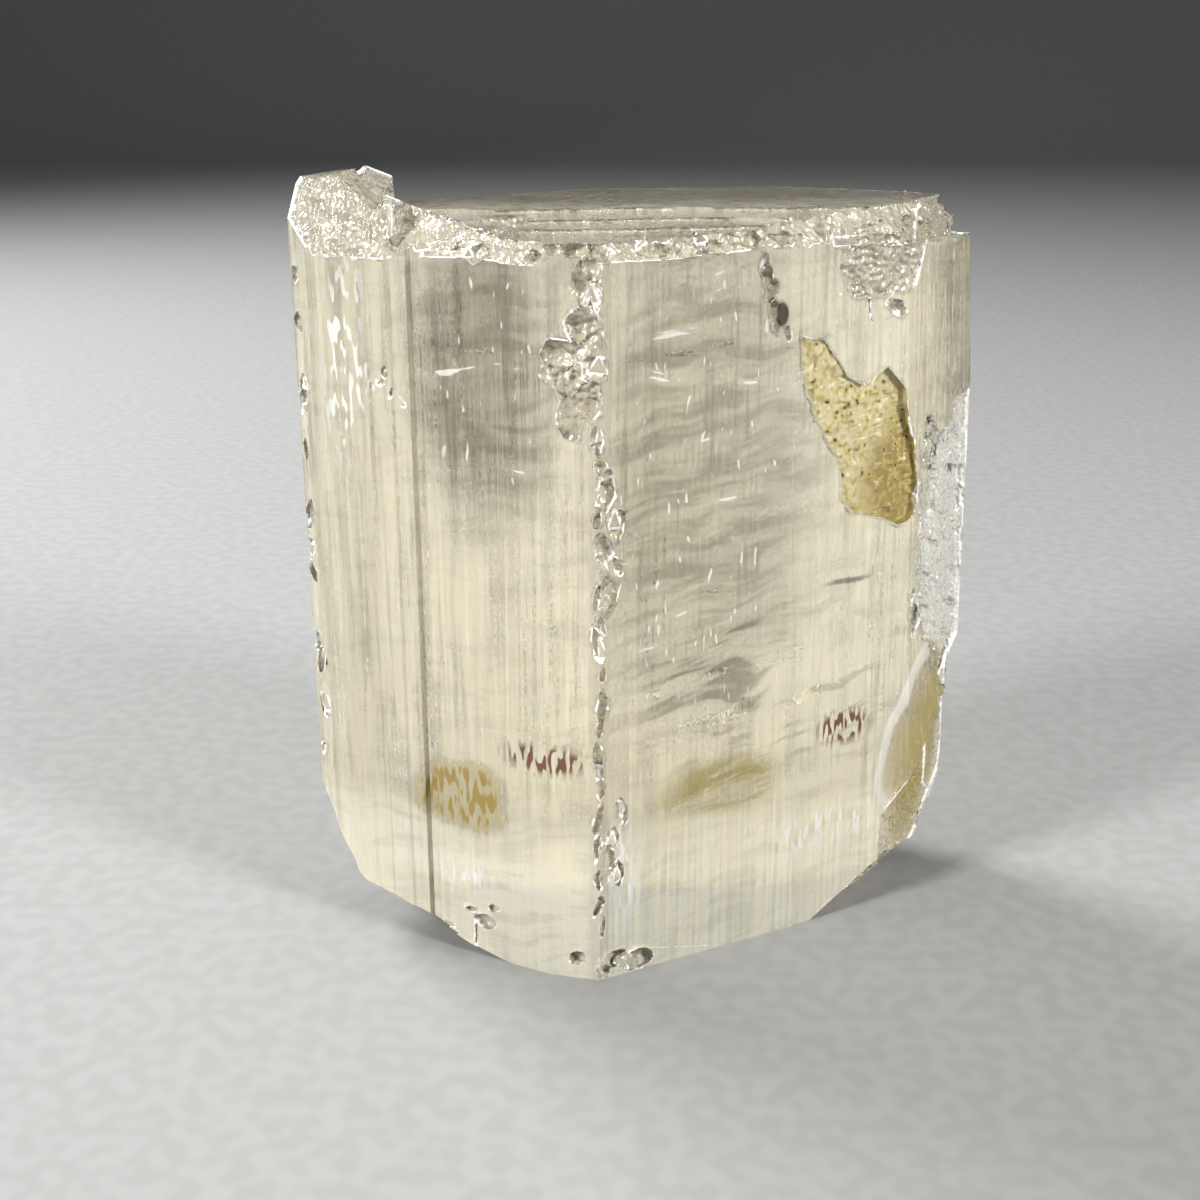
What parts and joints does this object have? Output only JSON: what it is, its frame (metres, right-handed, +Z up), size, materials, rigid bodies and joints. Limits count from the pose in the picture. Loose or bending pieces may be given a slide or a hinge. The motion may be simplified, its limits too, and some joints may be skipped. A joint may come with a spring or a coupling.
{
  "type": "topaz crystal",
  "caption": "Stout clear prism with a lozenge plan, upright growth ledges, a flat cleavage top with a knob at one corner, chipped edges and a broken, flat foot that it rests on.",
  "frame": {"origin": "bottom centre of the bounding box, on the plane that the crystal stands on", "axes": "+Z up along the prism, -Y towards the obtuse prism edge that faces the picture's camera, +X to the right in the picture"},
  "size_m": [0.0272, 0.0144, 0.0306],
  "materials": {
    "crystal": "clear to hazy pale champagne crystal, glossy on the faces and frosted on the breaks"
  },
  "bodies": {
    "root": {"topaz_crystal": "crystal"}
  },
  "joints": []
}
